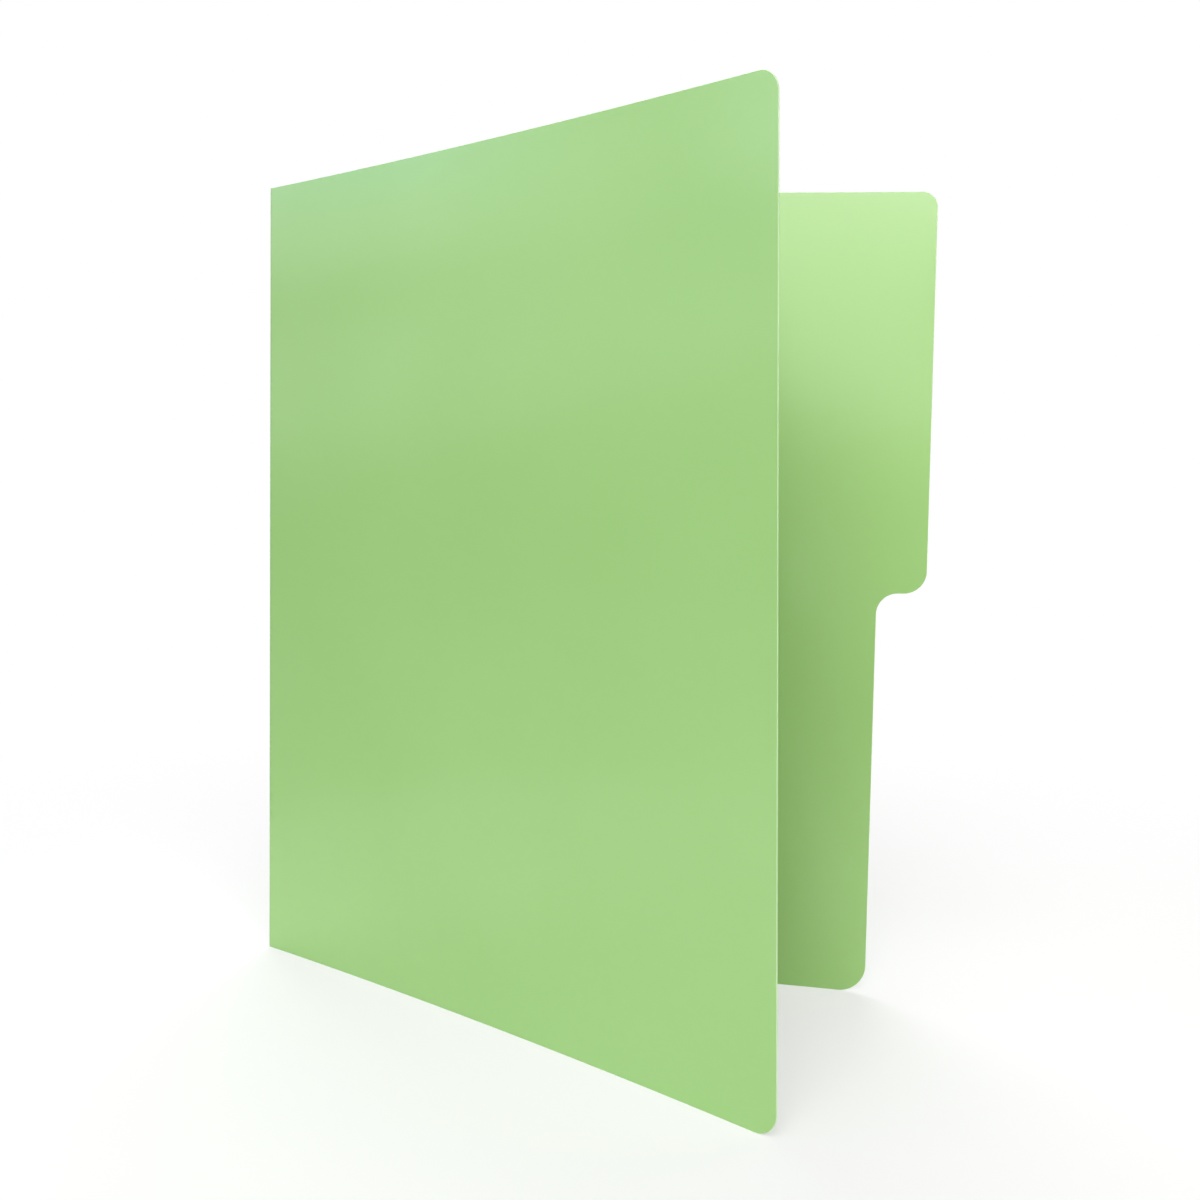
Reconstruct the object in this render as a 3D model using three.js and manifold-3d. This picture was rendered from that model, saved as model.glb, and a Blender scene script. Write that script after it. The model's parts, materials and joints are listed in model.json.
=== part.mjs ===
// A file folder with a half-cut tab, standing open on its short edges with the fold upright.
// One thin plastic sheet is cut to its outline by a die and creased once. The crease is a living
// hinge: it parts the sheet into a plain front leaf and a back leaf that carries the tab.
// Millimetres, +Z up. The back leaf runs along +X from the fold, and the front leaf opens towards -Y.
// The origin is under the middle of the folder, on the surface that it stands on.
import * as THREE from "three";
import { mergeVertices } from "three/addons/utils/BufferGeometryUtils.js";
import Module from "manifold-3d";

const wasm = await Module();
wasm.setup();

// Sheet and crease
const leafHeight = 298.5; // along the fold
const leafWidth = 234.5; // from the outside of the fold to the free edge
const sheetThickness = 0.5;
const creaseRadius = 0.5; // inside radius of the bend

// Tab on the free edge of the back leaf, at its upper end
const tabDepth = 18; // past the free edge of the leaf
const tabLength = 149; // down from the upper end of the leaf

// Corner radii of the outline
const frontUpperRadius = 6.5;
const frontLowerRadius = 8;
const backLowerRadius = 10;
const tabUpperRadius = 5.7;
const tabLowerRadius = 8.5;
const tabRootRadius = 8; // the hollow corner where the tab leaves the leaf

// How the sheet stands
const openingAngle = 33.8; // degrees between the leaves
const leafBow = 3; // both leaves bow the same way, so that they nest when they close
const frontTwist = 16; // how far the free edge of the front leaf leans out from foot to top
const backTwist = 19; // how far that of the back leaf leans out

// How finely the curves are faceted
const acrossSteps = 18;
const heightSteps = 12;
const arcSegments = 12; // for each arc

const trim = 5; // waste of the blank that the die cuts away on each side
const creaseOutside = creaseRadius + sheetThickness;
const leafReach = leafWidth - creaseOutside; // from the axis of the bend to the free edge
const tabReach = leafReach + tabDepth;
const tabFoot = leafHeight - tabLength;
const mostTwist = Math.max(Math.abs(frontTwist), Math.abs(backTwist));
const dieStroke = 2 * (creaseOutside + Math.abs(leafBow) + mostTwist);

const quarter = Math.PI / 2;
const radians = THREE.MathUtils.degToRad;

// A closed geometry as a solid that can be cut.
function solidOf(geometry) {
  geometry.deleteAttribute("normal");
  geometry.deleteAttribute("uv");
  const merged = mergeVertices(geometry);
  return new wasm.Manifold(
    new wasm.Mesh({
      numProp: 3,
      vertProperties: merged.attributes.position.array,
      triVerts: new Uint32Array(merged.index.array),
    }),
  );
}

// A solid as a geometry.
function geometryOf(solid) {
  const mesh = solid.getMesh();
  const geometry = new THREE.BufferGeometry();
  geometry.setAttribute("position", new THREE.BufferAttribute(mesh.vertProperties, 3));
  geometry.setIndex(new THREE.BufferAttribute(mesh.triVerts, 1));
  geometry.computeVertexNormals();
  return geometry;
}

// Outline of the front leaf, drawn flat: x is the reach from the fold, y the height.
function frontOutline() {
  const outline = new THREE.Shape();
  outline.moveTo(0, 0);
  outline.lineTo(leafReach - frontLowerRadius, 0);
  outline.absarc(leafReach - frontLowerRadius, frontLowerRadius, frontLowerRadius, -quarter, 0);
  outline.lineTo(leafReach, leafHeight - frontUpperRadius);
  outline.absarc(
    leafReach - frontUpperRadius,
    leafHeight - frontUpperRadius,
    frontUpperRadius,
    0,
    quarter,
  );
  outline.lineTo(0, leafHeight);
  return outline;
}

// Outline of the back leaf with its tab.
function backOutline() {
  const outline = new THREE.Shape();
  outline.moveTo(0, 0);
  outline.lineTo(leafReach - backLowerRadius, 0);
  outline.absarc(leafReach - backLowerRadius, backLowerRadius, backLowerRadius, -quarter, 0);
  outline.lineTo(leafReach, tabFoot - tabRootRadius);
  outline.absarc(
    leafReach + tabRootRadius,
    tabFoot - tabRootRadius,
    tabRootRadius,
    Math.PI,
    quarter,
    true,
  );
  outline.lineTo(tabReach - tabLowerRadius, tabFoot);
  outline.absarc(tabReach - tabLowerRadius, tabFoot + tabLowerRadius, tabLowerRadius, -quarter, 0);
  outline.lineTo(tabReach, leafHeight - tabUpperRadius);
  outline.absarc(
    tabReach - tabUpperRadius,
    leafHeight - tabUpperRadius,
    tabUpperRadius,
    0,
    quarter,
  );
  outline.lineTo(0, leafHeight);
  return outline;
}

// The die: the outline carried right through the sheet, along Y.
function dieSolid(outline) {
  const die = new THREE.ExtrudeGeometry(outline, {
    depth: dieStroke,
    curveSegments: arcSegments,
    bevelEnabled: false,
  });
  die.rotateX(quarter);
  die.translate(0, dieStroke / 2, 0);
  return solidOf(die);
}

// A bowed and twisted blank, larger than the leaf all round. `side` is +1 where the outside of the
// folder is towards +Y and -1 where it is towards -Y, and `bow` is positive outwards. The twist is
// shared between the top, which leans outwards, and the foot, which leans inwards.
function blankSolid(reach, side, bow, twist) {
  const inside = [];
  const outside = [];
  for (let step = 0; step <= acrossSteps; step++) {
    const u = (reach + 2 * trim) * (step / acrossSteps) - trim;
    const share = u / leafReach;
    const rise = creaseRadius + 4 * bow * share * (1 - share);
    inside.push(new THREE.Vector2(u, side * rise));
    outside.push(new THREE.Vector2(u, side * (rise + sheetThickness)));
  }
  const section = new THREE.Shape([...inside, ...outside.reverse()]);
  const blank = new THREE.ExtrudeGeometry(section, {
    depth: leafHeight + 2 * trim,
    steps: heightSteps,
    bevelEnabled: false,
  });
  blank.translate(0, 0, -trim);
  const points = blank.attributes.position;
  for (let i = 0; i < points.count; i++) {
    const lean = twist * (points.getZ(i) / leafHeight - 0.5) * (points.getX(i) / leafReach);
    points.setY(i, points.getY(i) + side * lean);
  }
  return solidOf(blank);
}

// A leaf: its blank, cut by its die.
function leafGeometry(outline, reach, side, bow, twist) {
  return geometryOf(blankSolid(reach, side, bow, twist).intersect(dieSolid(outline)));
}

// The strip of sheet that bends round the crease, from the back leaf to the front leaf.
function foldGeometry() {
  const start = quarter;
  const end = start + Math.PI - radians(openingAngle);
  const section = new THREE.Shape();
  section.absarc(0, 0, creaseOutside, start, end);
  section.absarc(0, 0, creaseRadius, end, start, true);
  return new THREE.ExtrudeGeometry(section, {
    depth: leafHeight,
    curveSegments: arcSegments,
    bevelEnabled: false,
  });
}

// Every piece is the same sheet: semi-gloss polypropylene in a pastel green.
function piece(name, geometry) {
  const plastic = new THREE.MeshStandardMaterial({
    color: 0xa4d087,
    roughness: 0.42,
    metalness: 0,
  });
  const mesh = new THREE.Mesh(geometry, plastic);
  mesh.name = name;
  return mesh;
}

// The axis of the bend is the Z axis of this group.
const folder = new THREE.Group();
folder.add(piece("back_leaf", leafGeometry(backOutline(), tabReach, 1, leafBow, backTwist)));
folder.add(piece("fold_strip", foldGeometry()));

// The front leaf turns about that axis.
const frontPivot = new THREE.Group();
frontPivot.rotation.z = -radians(openingAngle);
const frontLeaf = leafGeometry(frontOutline(), leafReach, -1, -leafBow, frontTwist);
frontPivot.add(piece("front_leaf", frontLeaf));
folder.add(frontPivot);

// Centre the folder over the origin.
folder.updateMatrixWorld(true);
const middle = new THREE.Box3().setFromObject(folder, true).getCenter(new THREE.Vector3());
folder.position.set(-middle.x, -middle.y, 0);

const part = new THREE.Group();
part.add(folder);

export default part;
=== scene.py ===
# %% [markdown]
# A file folder, cut from one sheet of pale green polypropylene, stands open on its short edges.
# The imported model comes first, because it fixes every place: it holds the back leaf, the front leaf
# and the narrow strip that bends round the crease, and it says which of them turn.
# Everything here is in metres, in the frame of that model.

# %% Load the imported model
import json
import math

import bpy
import numpy as np
from mathutils import Matrix, Vector


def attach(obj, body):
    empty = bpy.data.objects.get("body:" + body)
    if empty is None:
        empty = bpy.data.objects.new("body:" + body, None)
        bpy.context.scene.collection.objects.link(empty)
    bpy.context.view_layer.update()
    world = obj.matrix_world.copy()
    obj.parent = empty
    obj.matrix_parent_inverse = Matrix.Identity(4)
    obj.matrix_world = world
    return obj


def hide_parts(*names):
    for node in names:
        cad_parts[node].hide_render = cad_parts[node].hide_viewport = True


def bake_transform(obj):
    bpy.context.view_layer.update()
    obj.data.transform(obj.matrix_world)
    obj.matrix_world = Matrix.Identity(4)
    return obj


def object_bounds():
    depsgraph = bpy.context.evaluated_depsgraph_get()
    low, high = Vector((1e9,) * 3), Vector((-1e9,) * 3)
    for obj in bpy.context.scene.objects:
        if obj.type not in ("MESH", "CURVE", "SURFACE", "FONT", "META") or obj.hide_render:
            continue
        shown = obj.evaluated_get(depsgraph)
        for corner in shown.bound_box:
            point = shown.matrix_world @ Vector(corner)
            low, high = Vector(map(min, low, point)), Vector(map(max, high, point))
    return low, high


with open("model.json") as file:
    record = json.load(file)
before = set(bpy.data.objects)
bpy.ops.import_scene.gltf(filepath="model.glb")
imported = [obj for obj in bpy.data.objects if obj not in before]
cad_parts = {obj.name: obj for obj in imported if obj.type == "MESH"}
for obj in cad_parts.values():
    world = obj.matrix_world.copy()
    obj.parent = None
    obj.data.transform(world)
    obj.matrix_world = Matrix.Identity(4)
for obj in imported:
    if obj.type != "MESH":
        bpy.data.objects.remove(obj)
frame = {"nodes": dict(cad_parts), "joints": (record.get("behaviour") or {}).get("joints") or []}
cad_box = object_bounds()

MM = 0.001
print("nodes:", ", ".join(sorted(frame["nodes"])))
print("size in mm:", [round((high - low) / MM, 2) for low, high in zip(*cad_box)])

# %% [markdown]
# The camera stands a little above the middle of the folder and looks slightly down, so that the
# upright edges nearly stay upright. Its place could be turned by eye until the picture agrees. Here a
# folded sheet of the folder's size was fitted to the outline in the photograph instead, which gives
# the place, the heading and the lens in one go. The photograph was cropped a little off its middle,
# and the lens shift stands for that.

# %% Camera
eye = Vector((58.1, -419.8, 188.8)) * MM
heading = math.radians(6.363)  # from +Y towards -X
dip = math.radians(4.226)  # below the horizon
roll = math.radians(1.194)

view = bpy.data.cameras.new("view")
view.sensor_width = 36
view.lens = 38.29
view.shift_y = -0.0201
view.clip_start = 0.01
view.clip_end = 50

camera = bpy.data.objects.new("camera", view)
bpy.context.scene.collection.objects.link(camera)
camera.matrix_world = (
    Matrix.Translation(eye)
    @ Matrix.Rotation(heading, 4, "Z")
    @ Matrix.Rotation(math.pi / 2 - dip, 4, "X")
    @ Matrix.Rotation(roll, 4, "Z")
)
bpy.context.scene.camera = camera
print("camera is", round(eye.length, 3), "m from the foot of the folder's middle")

# %% [markdown]
# The outline of a leaf is what the cutting die gives: straight runs joined by round corners. It could
# be a polygon with a bevel, but arcs written as formulas keep each corner's true radius. A run of the
# outline is held as its points and the direction that faces out of the sheet at each point, because
# the cut edge is rounded later in just that direction.

# %% Runs of the outline
STRAIGHT_STEP = 3 * MM
ARC_STEP = math.radians(6)
cut_round = 0.12 * MM  # how far the cut edge is rounded


def straight(start, end):
    """Points from start to end at even steps, moved into the sheet by the rounding of the cut edge.
    The sheet is on the left of the run, so outwards is the direction of the run turned a quarter to
    the right."""
    start, end = np.array(start), np.array(end)
    length = np.linalg.norm(end - start)
    along = (end - start) / length
    outwards = np.array([along[1], -along[0]])
    share = np.linspace(0, 1, max(2, round(length / STRAIGHT_STEP) + 1))[:, None]
    points = start + share * (end - start) - cut_round * outwards
    return points, np.broadcast_to(outwards, points.shape)


def arc(centre, radius, first, last):
    """Points of an arc round centre from angle first to angle last, in degrees, moved into the sheet
    in the same way. Outwards is away from the centre where the angle grows, and towards it at a
    hollow corner, where it falls."""
    first, last = math.radians(first), math.radians(last)
    angle = np.linspace(first, last, round(abs(last - first) / ARC_STEP) + 1)
    away = np.stack([np.cos(angle), np.sin(angle)], axis=-1)
    outwards = away * np.sign(last - first)
    return np.array(centre) + radius * away - cut_round * outwards, outwards


def joined(*runs):
    """The runs one after the other, without the point that each shares with the run before it."""
    points = [runs[0][0]] + [run[0][1:] for run in runs[1:]]
    outwards = [runs[0][1]] + [run[1][1:] for run in runs[1:]]
    return np.concatenate(points), np.concatenate(outwards)


# %% [markdown]
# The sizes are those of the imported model: a leaf 298.5 mm high and 234.5 mm wide, and a tab that
# stands out 18 mm along the upper half of the back leaf. The height is read from the model, and the
# reach of a leaf is measured from the axis of the crease.

# %% Sizes of the sheet
height = (cad_box[1] - cad_box[0]).z
thickness = 0.5 * MM
crease_radius = 0.5 * MM  # inside the bend
leaf_width = 234.5 * MM  # from the outside of the crease to the free edge
tab_depth, tab_length = 18 * MM, 149 * MM

middle_radius = crease_radius + thickness / 2
leaf_reach = leaf_width - crease_radius - thickness
tab_foot = height - tab_length
tab_reach = leaf_reach + tab_depth

# Radii of the corners
front_upper, front_lower, back_lower = 6.5 * MM, 8 * MM, 10 * MM
tab_upper, tab_lower, tab_root = 5.7 * MM, 8.5 * MM, 8 * MM
print("leaf reach", round(leaf_reach / MM, 2), "mm, tab foot at", round(tab_foot / MM, 2), "mm")

# %% [markdown]
# The die cuts a leaf on three sides, and the crease is the fourth. The foot and the top are straight,
# so only the free edge needs drawing, with the corner at each of its ends. The tab could be a piece of
# its own, but the real one is cut in one go with the leaf. It is part of the same run here: a hollow
# corner leads out to it, and two round corners shape it.

# %% Free edge of each leaf, from its lower corner to its upper one
front_edge = joined(
    arc((leaf_reach - front_lower, front_lower), front_lower, -90, 0),
    straight((leaf_reach, front_lower), (leaf_reach, height - front_upper)),
    arc((leaf_reach - front_upper, height - front_upper), front_upper, 0, 90),
)
back_edge = joined(
    arc((leaf_reach - back_lower, back_lower), back_lower, -90, 0),
    straight((leaf_reach, back_lower), (leaf_reach, tab_foot - tab_root)),
    arc((leaf_reach + tab_root, tab_foot - tab_root), tab_root, 180, 90),
    straight((leaf_reach + tab_root, tab_foot), (tab_reach - tab_lower, tab_foot)),
    arc((tab_reach - tab_lower, tab_foot + tab_lower), tab_lower, -90, 0),
    straight((tab_reach, tab_foot + tab_lower), (tab_reach, height - tab_upper)),
    arc((tab_reach - tab_upper, height - tab_upper), tab_upper, 0, 90),
)
print("points on the free edges:", len(front_edge[0]), "and", len(back_edge[0]))

# %% [markdown]
# A leaf is a sheet over a grid of flat coordinates: the reach from the crease and the height. A square
# grid would cut across the round corners, so each row of this one is a straight line from the crease
# to a point of the free edge, and the last column is the outline itself. The columns crowd towards
# the crease, where the sheet turns quickly.

# %% Flat grids
COLUMNS = 72
CROWDING = 1.6  # the power that draws the columns to the crease
DOWN, UP = (0, -1), (0, 1)  # where the cut edges at the foot and at the top face


def fanned(edge):
    """A grid whose row t runs from the crease to point t of the free edge. At share s of the way the
    reach is s times the edge's, and the height goes evenly from the crease's to the edge's. The rows
    leave the crease at heights in proportion to the length of outline passed."""
    points, outwards = edge
    steps = np.linalg.norm(np.diff(points, axis=0), axis=1)
    passed = np.concatenate([[0], np.cumsum(steps)])
    at_crease = points[0, 1] + (points[-1, 1] - points[0, 1]) * passed / passed[-1]
    share = (np.arange(COLUMNS + 1) / COLUMNS) ** CROWDING
    reach = points[:, :1] * share
    level = at_crease[:, None] * (1 - share) + points[:, 1:] * share
    flat = np.stack([reach, level], axis=-1)
    facing = np.zeros_like(flat)
    facing[:, -1] = outwards
    facing[0], facing[-1] = DOWN, UP
    return flat, facing


front_flat, front_facing = fanned(front_edge)
back_flat, back_facing = fanned(back_edge)
print("grids:", front_flat.shape[:2], "and", back_flat.shape[:2])

# %% [markdown]
# The sheet is closed all round: two faces, half a thickness either side of its middle, and a rim that
# joins them. A Solidify modifier would give a rim with sharp edges, and a Bevel would also round the
# ends that meet at the crease. Here the rim is a small profile carried along the border of the grid:
# it turns a quarter round at each face, and where a piece meets its neighbour it doesn't stand out.

# %% Rim, border and quads
RIM_STEPS = 4  # facets in each quarter of the rim's rounding


def rim_profile():
    """How far the rim stands out, and its height above the middle of the sheet, from the outer face
    to the inner one: a quarter circle at each face, with the straight cut between them."""
    quarter = np.linspace(0, math.pi / 2, RIM_STEPS + 1)
    turn = np.concatenate([quarter, quarter + math.pi / 2])
    side = np.repeat([1, -1], RIM_STEPS + 1)
    return cut_round * np.sin(turn), side * (thickness / 2 - cut_round) + cut_round * np.cos(turn)


def border(rows, columns):
    """Indices of the grid's border, once round: lower row, last column, upper row, first column."""
    index = np.arange(rows * columns).reshape(rows, columns)
    return np.concatenate([index[0], index[1:, -1], index[-1, -2::-1], index[-2:0:-1, 0]])


def quads(ring):
    """Quads between neighbouring rows and columns of a table of indices."""
    corners = (ring[:-1, :-1], ring[:-1, 1:], ring[1:, 1:], ring[1:, :-1])
    return np.stack([corner.ravel() for corner in corners], axis=-1)


# %% Closed sheets
FACE, CUT = 0, 1  # places of the two materials


def closed_sheet(name, flat, facing, place):
    """A closed mesh over a flat grid. place(reach, level, up) gives the points, with the outer face
    at up = thickness/2 and the inner at -thickness/2. Rim point k of border point b is that border
    point moved outwards by the profile's k-th reach, at its k-th height. Quads that face inwards are
    turned round."""
    rows, columns = flat.shape[:2]
    count = rows * columns
    around = border(rows, columns)
    grid, outwards = flat.reshape(-1, 2), facing.reshape(-1, 2)
    stands, heights = rim_profile()

    rim_flat = grid[around] + stands[1:-1, None, None] * outwards[around]
    rim_height = np.broadcast_to(heights[1:-1, None], rim_flat.shape[:2])
    points = np.concatenate([
        place(grid[:, 0], grid[:, 1], thickness / 2),
        place(grid[:, 0], grid[:, 1], -thickness / 2),
        place(rim_flat[..., 0], rim_flat[..., 1], rim_height).reshape(-1, 3),
    ])

    rim_index = 2 * count + np.arange(rim_height.size).reshape(rim_height.shape)
    ring = np.concatenate([around[None], rim_index, around[None] + count])
    ring = np.concatenate([ring, ring[:, :1]], axis=1)
    outer = quads(np.arange(count).reshape(rows, columns))
    rim = quads(ring)[:, ::-1]
    faces = np.concatenate([outer, outer[:, ::-1] + count, rim])

    volume = enclosed(points, faces)
    if volume < 0:
        faces = faces[:, ::-1]
    material = np.concatenate([np.full(2 * len(outer), FACE), np.full(len(rim), CUT)])
    print(f"{name}: {len(points)} points, {len(faces)} faces, {abs(volume) / MM**3:.0f} mm3")
    return sheet_object(name, points, faces, material, ring[[0, -1]])


def enclosed(points, faces):
    """The volume inside closed quads: the sum over the quads of the two tetrahedra that each makes
    with the origin. It is negative where the quads face inwards."""
    a, b, c, d = (points[faces[:, corner]] for corner in range(4))
    return (np.einsum("ij,ij->", np.cross(a, b), c) + np.einsum("ij,ij->", np.cross(a, c), d)) / 6


def sheet_object(name, points, faces, material, rim_lines):
    """The arrays as a mesh in the scene, smooth but for the two lines where the rim begins."""
    mesh = bpy.data.meshes.new(name)
    mesh.from_pydata(points, [], faces)
    mesh.polygons.foreach_set("material_index", material)
    mesh.polygons.foreach_set("use_smooth", np.ones(len(faces), bool))

    ends = np.empty(2 * len(mesh.edges), int)
    mesh.edges.foreach_get("vertices", ends)
    ends = np.sort(ends.reshape(-1, 2), axis=1)
    pairs = [np.stack([line[:-1], line[1:]], axis=-1) for line in rim_lines]
    pairs = np.sort(np.concatenate(pairs), axis=1)
    count = len(points)
    sharp = np.isin(ends[:, 0] * count + ends[:, 1], pairs[:, 0] * count + pairs[:, 1])
    mesh.edges.foreach_set("use_edge_sharp", sharp)
    mesh.update()

    piece = bpy.data.objects.new(name, mesh)
    bpy.context.scene.collection.objects.link(piece)
    return piece


# %% [markdown]
# Both leaves bow the same way, by 3 mm, and each is twisted: its free edge leans out further at the
# top than at the foot, by 16 mm on the front leaf and 19 mm on the back one, so the mouth of the
# folder is wider at the top, as in the photograph. The crease holds the sheet straight for a few
# millimetres first.

# %% How the leaves stand
hinge = frame["joints"][0]["pos_m"]
axis = Vector((hinge[0], hinge[1], 0))  # foot of the axis of the crease
opening = math.radians(33.8)  # between the leaves
bow = 3 * MM
front_twist, back_twist = 16 * MM, 19 * MM  # how far each free edge leans out, from foot to top
crease_hold = 2 * MM  # reach over which the crease lets go of the sheet


def rise(reach, level, bow, twist):
    """How far the sheet stands out from the plane of the leaf: a parabola of height bow across the
    leaf, and a lean that grows with the reach and with the height above the middle. Near the crease
    both are held back by one minus a falling exponential."""
    share = reach / leaf_reach
    lean = twist * (level / height - 0.5) * share
    return (4 * bow * share * (1 - share) + lean) * (1 - np.exp(-reach / crease_hold))


def on_back(reach, level, up):
    """A point of the back leaf: along +X from the axis, out towards +Y."""
    out = middle_radius + rise(reach, level, bow, back_twist) + up
    return np.stack([axis.x + reach, axis.y + out, level], axis=-1)


def on_front(reach, level, up):
    """A point of the front leaf: the mirror image of a leaf that bows inwards, turned about the
    axis by the opening between the leaves."""
    out = middle_radius + rise(reach, level, -bow, front_twist) + up
    x = reach * math.cos(opening) - out * math.sin(opening)
    y = -reach * math.sin(opening) - out * math.cos(opening)
    return np.stack([axis.x + x, axis.y + y, level], axis=-1)


# %% The two leaves
back_leaf = closed_sheet("back_leaf_sheet", back_flat, back_facing, on_back)
front_leaf = closed_sheet("front_leaf_sheet", front_flat, front_facing, on_front)

# %% [markdown]
# The crease is the same sheet, bent round an arc of 0.75 mm at its middle. It is a piece of its own,
# beside the two rigid leaves.

# %% The crease
CREASE_STEPS = 24
CREASE_ROWS = 100
arc_length = middle_radius * (math.pi - opening)


def round_crease(along, level, up):
    """A point of the crease: the length along the arc is an angle about the axis, from the back
    leaf's +Y round through -X to the front leaf."""
    angle = math.pi / 2 + along / middle_radius
    radius = middle_radius + up
    x, y = radius * np.cos(angle), radius * np.sin(angle)
    return np.stack([axis.x + x, axis.y + y, level], axis=-1)


levels = np.linspace(cut_round, height - cut_round, CREASE_ROWS + 1)
crease_flat = np.stack(
    np.meshgrid(np.linspace(0, arc_length, CREASE_STEPS + 1), levels), axis=-1
)
crease_facing = np.zeros_like(crease_flat)
crease_facing[0], crease_facing[-1] = DOWN, UP
crease = closed_sheet("crease_sheet", crease_flat, crease_facing, round_crease)

# %% [markdown]
# The finish is semi-gloss polypropylene, coloured right through. A single colour would look like
# card, so the green drifts a little over the sheet, the gloss varies as it does on an extruded sheet,
# and a fine grain breaks the reflections. The cut edge is the same plastic, duller because the die
# tears it a little. Its paler colour is painted glow that stands in for light coming out of the edge.
# Light that really travels through the sheet would show the same pale line, but on a sheet this
# thin it is slow and noisy, so a second, paler colour does the work.

# %% Colours, gloss and grain of the sheet
GREEN = (0.307, 0.538, 0.185, 1)
GREEN_DRIFT = (0.325, 0.558, 0.201, 1)
# Painted glow: the cut edge's paler greens stand in for light that comes out through the edge
CUT_GLOW_GREEN = (0.490, 0.715, 0.410, 1)
CUT_GLOW_GREEN_DRIFT = (0.545, 0.760, 0.480, 1)
FACE_ROUGHNESS = (0.18, 0.22)  # where the sheet is glossiest, and where it is dullest
CUT_ROUGHNESS = (0.5, 0.6)
FACE_GRAIN, CUT_GRAIN = 0.004 * MM, 0.01 * MM  # heights of the grain
REFRACTION = 1.49  # index of polypropylene

# Waves to the metre, and how many finer layers lie over them
COLOUR_WAVES, COLOUR_DETAIL = 9, 2
GLOSS_WAVES, GLOSS_DETAIL = 22, 3
GRAIN_WAVES, GRAIN_DETAIL = 2600, 2
COMMON = (0.3, 0.7)  # the noise seldom leaves this part of 0 to 1

# %% Helpers for materials
STEP_ENDS = ("From Min", "From Max", "To Min", "To Max")


def add(nodes, kind, **values):
    """A node with some of its inputs and settings filled in."""
    node = nodes.new(kind)
    for name, value in values.items():
        if name in node.inputs:
            node.inputs[name].default_value = value
        else:
            setattr(node, name, value)
    return node


def noise(tree, coordinates, scale, detail):
    """Noise from 0 to 1 over the place on the piece, with `scale` waves to the metre."""
    node = add(tree.nodes, "ShaderNodeTexNoise", Scale=scale, Detail=detail)
    tree.links.new(coordinates, node.inputs["Vector"])
    return node.outputs["Fac"]


def stepping(tree, value, start, end, low, high, step="LINEAR"):
    """low below start, high past end, and a straight or a smooth step between them."""
    node = add(tree.nodes, "ShaderNodeMapRange", interpolation_type=step)
    for name, number in zip(STEP_ENDS, (start, end, low, high)):
        node.inputs[name].default_value = number
    tree.links.new(value, node.inputs["Value"])
    return node.outputs["Result"]


def drifting(tree, factor, first, second):
    """A colour that drifts between two."""
    node = tree.nodes.new("ShaderNodeMix")
    node.data_type = "RGBA"
    node.inputs["A"].default_value = first
    node.inputs["B"].default_value = second
    tree.links.new(factor, node.inputs["Factor"])
    return node.outputs["Result"]


# %% Finish of the sheet
def plastic(name, first, second, roughness, grain):
    """Polypropylene whose colour and roughness each drift between two values, as two noises cross
    their common part, with a fine grain of that height in metres."""
    material = bpy.data.materials.new(name)
    material.use_nodes = True
    tree = material.node_tree
    tree.nodes.clear()
    place = tree.nodes.new("ShaderNodeTexCoord").outputs["Object"]
    shader = add(tree.nodes, "ShaderNodeBsdfPrincipled")
    shader.inputs["IOR"].default_value = REFRACTION
    output = tree.nodes.new("ShaderNodeOutputMaterial")

    clouds = noise(tree, place, COLOUR_WAVES, COLOUR_DETAIL)
    drift = stepping(tree, clouds, *COMMON, 0, 1)
    tree.links.new(drifting(tree, drift, first, second), shader.inputs["Base Color"])
    patches = noise(tree, place, GLOSS_WAVES, GLOSS_DETAIL)
    tree.links.new(stepping(tree, patches, *COMMON, *roughness), shader.inputs["Roughness"])

    bump = add(tree.nodes, "ShaderNodeBump", Strength=1.0, Distance=grain)
    tree.links.new(noise(tree, place, GRAIN_WAVES, GRAIN_DETAIL), bump.inputs["Height"])
    tree.links.new(bump.outputs["Normal"], shader.inputs["Normal"])
    tree.links.new(shader.outputs["BSDF"], output.inputs["Surface"])
    return material


face_finish = plastic("semi_gloss_green", GREEN, GREEN_DRIFT, FACE_ROUGHNESS, FACE_GRAIN)
# The cut edge's finish carries the painted glow, paler than the faces
cut_glow_finish = plastic("cut_edge_glow_green", CUT_GLOW_GREEN, CUT_GLOW_GREEN_DRIFT, CUT_ROUGHNESS, CUT_GRAIN)
for piece in (back_leaf, front_leaf, crease):
    piece.data.materials.append(face_finish)
    piece.data.materials.append(cut_glow_finish)
print("finishes:", face_finish.name, "and", cut_glow_finish.name)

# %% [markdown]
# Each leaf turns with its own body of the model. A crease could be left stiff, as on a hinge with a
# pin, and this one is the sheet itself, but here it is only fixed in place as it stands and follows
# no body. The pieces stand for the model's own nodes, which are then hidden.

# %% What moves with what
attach(back_leaf, "back")
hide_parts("back_leaf")
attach(front_leaf, "front")
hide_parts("front_leaf")

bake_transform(crease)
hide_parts("fold_strip")

# %% [markdown]
# The studio is a sheet of white paper on a darker floor, in a dim room with a few large lamps. A white
# room would light the folder evenly, but its gloss would then show nothing: the soft lights and
# darks on the front leaf are the paper, the room and a window, mirrored at a low angle. The camera
# alone sees white past the paper, so no horizon shows, and the paper keeps the folder's shadow.

# %% Paper, table and white
FLOOR_SIZE = 12.0  # metres
WHITE = (1, 1, 1, 1)
PAPER, TABLE = (0.85, 0.85, 0.85, 1), (0.35, 0.35, 0.35, 1)
PAPER_EDGE = (0.28, 0.38)  # metres from the middle, where the paper gives way to the table
WHITE_FROM, WHITE_TO = 0.18, 0.55  # where the camera's white begins, and where it has taken over
LEAST_WHITE = 0.5  # how much of the white the camera sees right under the folder


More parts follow.
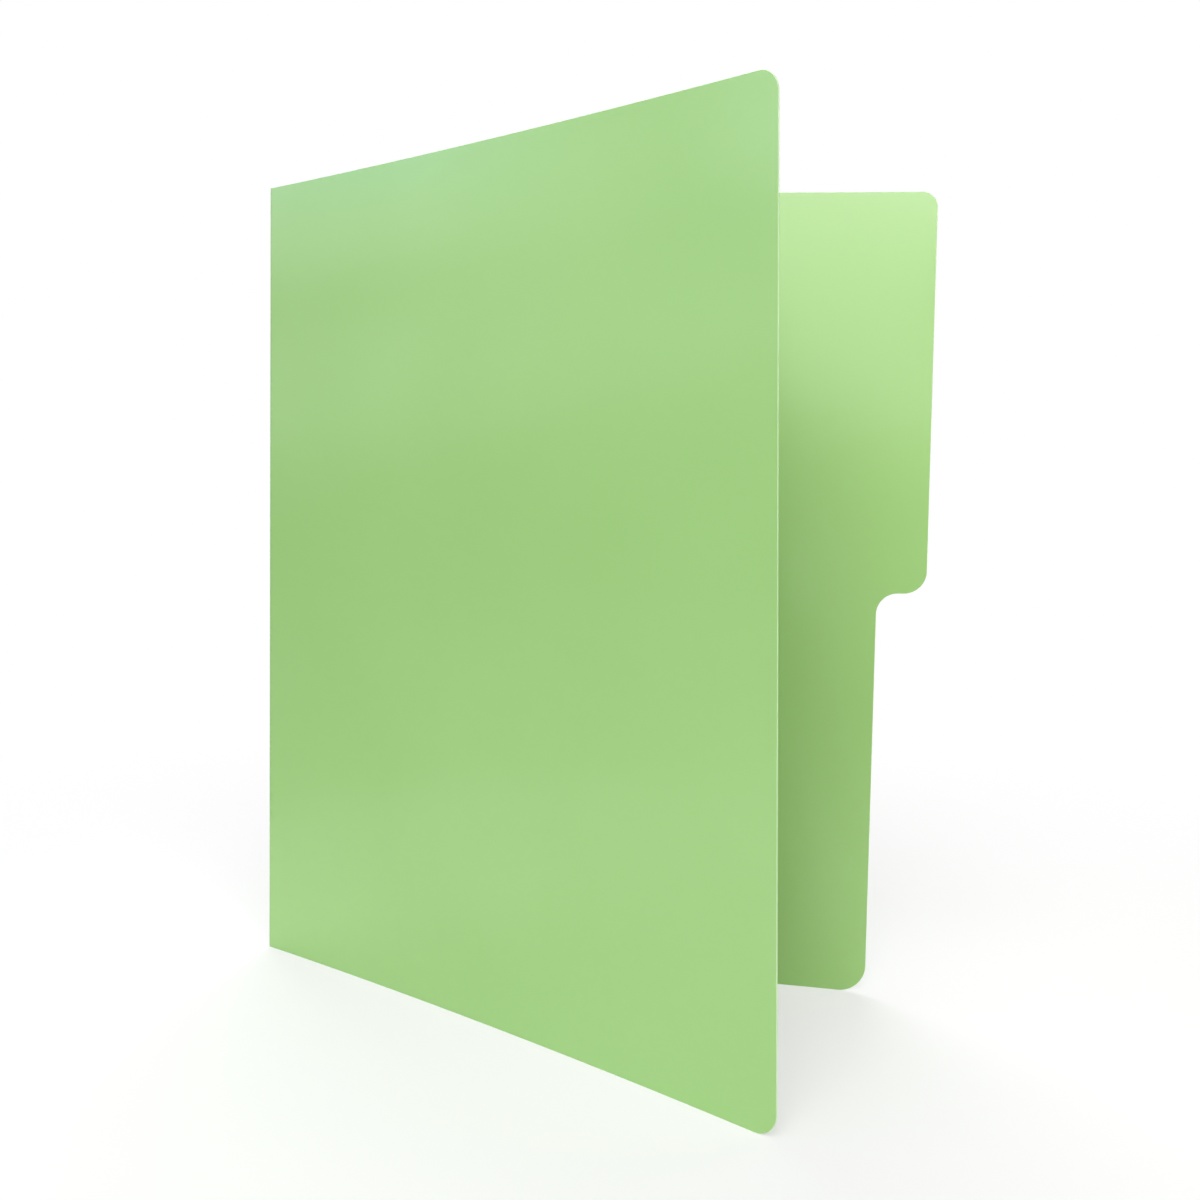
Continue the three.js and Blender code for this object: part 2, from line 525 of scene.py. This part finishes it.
def floor_finish():
    """Diffuse paper and table, and for the camera an even white that grows with the distance."""
    material = bpy.data.materials.new("pale_floor")
    material.use_nodes = True
    tree = material.node_tree
    tree.nodes.clear()
    place = tree.nodes.new("ShaderNodeTexCoord").outputs["Object"]
    length = add(tree.nodes, "ShaderNodeVectorMath", operation="LENGTH")
    tree.links.new(place, length.inputs[0])
    distance = length.outputs["Value"]

    surface = tree.nodes.new("ShaderNodeBsdfDiffuse")
    past_paper = stepping(tree, distance, *PAPER_EDGE, 0, 1, "SMOOTHSTEP")
    tree.links.new(drifting(tree, past_paper, PAPER, TABLE), surface.inputs["Color"])

    paper = add(tree.nodes, "ShaderNodeBsdfDiffuse", Color=PAPER)
    white = add(tree.nodes, "ShaderNodeEmission", Color=WHITE, Strength=1.0)
    whiter = tree.nodes.new("ShaderNodeMixShader")
    share = stepping(tree, distance, WHITE_FROM, WHITE_TO, LEAST_WHITE, 1, "SMOOTHSTEP")
    tree.links.new(share, whiter.inputs[0])
    tree.links.new(paper.outputs[0], whiter.inputs[1])
    tree.links.new(white.outputs[0], whiter.inputs[2])

    rays = tree.nodes.new("ShaderNodeLightPath")
    mixed = tree.nodes.new("ShaderNodeMixShader")
    tree.links.new(rays.outputs["Is Camera Ray"], mixed.inputs[0])
    tree.links.new(surface.outputs[0], mixed.inputs[1])
    tree.links.new(whiter.outputs[0], mixed.inputs[2])
    output = tree.nodes.new("ShaderNodeOutputMaterial")
    tree.links.new(mixed.outputs[0], output.inputs["Surface"])
    return material


# %% Floor
half = FLOOR_SIZE / 2
corners = [(-half, -half, 0), (half, -half, 0), (half, half, 0), (-half, half, 0)]
floor_mesh = bpy.data.meshes.new("studio_floor")
floor_mesh.from_pydata(corners, [], [(0, 1, 2, 3)])
floor_mesh.materials.append(floor_finish())
floor = bpy.data.objects.new("studio_floor", floor_mesh)
bpy.context.scene.collection.objects.link(floor)
print("paper to", PAPER_EDGE[1], "m from the middle, and the camera's white from", WHITE_TO, "m")

# %% [markdown]
# The walls of a real room send a little light back from every side, which fills the shadows. They
# could be modelled, but they would stand in the way of a camera that goes round the folder. A dim
# world of one even shade does the same, and the camera sees it as plain white.

# %% Room
ROOM_LIGHT = 0.06

world = bpy.data.worlds.new("studio")
world.use_nodes = True
bpy.context.scene.world = world
sky = world.node_tree
sky.nodes.clear()
room = add(sky.nodes, "ShaderNodeBackground", Color=WHITE, Strength=ROOM_LIGHT)
white_wall = add(sky.nodes, "ShaderNodeBackground", Color=WHITE, Strength=1.0)
rays = sky.nodes.new("ShaderNodeLightPath")
pick = sky.nodes.new("ShaderNodeMixShader")
sky.links.new(rays.outputs["Is Camera Ray"], pick.inputs[0])
sky.links.new(room.outputs[0], pick.inputs[1])
sky.links.new(white_wall.outputs[0], pick.inputs[2])
sky.links.new(pick.outputs[0], sky.nodes.new("ShaderNodeOutputWorld").inputs["Surface"])

# %% [markdown]
# The light in the photograph comes from above the camera: it falls over the edge of the front leaf,
# so the back leaf is bright at the top and darker where the front leaf shades it. One lamp would do
# that, and give hard steps; a wide key lamp, a softer one over it and two weak ones near the camera
# give the slow change that shows. The gloss of the front leaf mirrors what is far to the left, near
# the horizon, so a low lamp and a window stand there, in slightly cool light, and a warm low lamp
# lights the inside of the back leaf from the right. Two lamps behind are for the side that the
# photograph doesn't show.

# %% A softbox
MIDDLE = Vector((0, 0, height / 2))
NEUTRAL, WARM = (1, 1, 1), (1.0, 0.62, 0.12)
PALE_CYAN, PALE_BLUE, CLEAR_BLUE = (0.87, 1.0, 0.96), (0.69, 0.83, 1.0), (0.1, 0.6, 1.0)


def softbox(name, heading, lift, distance, width, high, power, colour=NEUTRAL):
    """A rectangular lamp that shines at the middle of the folder from that distance. Its heading is
    in degrees from +X towards +Y, its lift in degrees above the horizon, and its power in watts."""
    lamp = bpy.data.lights.new(name, "AREA")
    lamp.shape = "RECTANGLE"
    lamp.size, lamp.size_y = width, high
    lamp.energy = power
    lamp.color = colour
    heading, lift = math.radians(heading), math.radians(lift)
    level = math.cos(lift)
    towards = Vector((level * math.cos(heading), level * math.sin(heading), math.sin(lift)))
    box = bpy.data.objects.new(name, lamp)
    box.location = MIDDLE + distance * towards
    box.rotation_euler = (-towards).to_track_quat("-Z", "Y").to_euler()
    bpy.context.scene.collection.objects.link(box)


# %% Lamps
# Over the camera: the light on both leaves
softbox("key", heading=-82, lift=38, distance=1.15, width=1.2, high=0.5, power=12.4)
softbox("top", heading=-100, lift=60, distance=1.4, width=0.8, high=0.8, power=5.2)
softbox("above_camera", heading=-90, lift=20, distance=1.0, width=0.5, high=0.2, power=1.02)
softbox("low_near", heading=-105, lift=4, distance=0.9, width=0.6, high=0.1, power=0.5)

# Far left: what the front leaf mirrors, a low lamp and a window that is bluer towards its near side
softbox("left_low", heading=-168, lift=6, distance=1.6, width=0.8, high=0.2,
        power=0.61, colour=PALE_CYAN)
softbox("window_far", heading=-176, lift=16, distance=1.6, width=0.45, high=0.24,
        power=0.75, colour=PALE_CYAN)
softbox("window_near", heading=-158, lift=17, distance=1.6, width=0.3, high=0.24,
        power=1.0, colour=PALE_BLUE)
softbox("window_corner", heading=-176.5, lift=18, distance=1.6, width=0.16, high=0.1,
        power=0.17, colour=CLEAR_BLUE)

# Right: the warm light on the inside of the back leaf
softbox("right_low", heading=-32, lift=5, distance=1.6, width=1.3, high=0.25,
        power=3.0, colour=WARM)

# Behind: the light on the side that the photograph doesn't show
softbox("back", heading=105, lift=38, distance=1.8, width=1.6, high=0.8, power=24)
softbox("back_right", heading=48, lift=24, distance=1.6, width=1.0, high=0.6, power=4)

watts = sum(lamp.energy for lamp in bpy.data.lights)
print(len(bpy.data.lights), "lamps,", round(watts, 2), "W in all")
bpy.context.scene.view_settings.view_transform = "Standard"
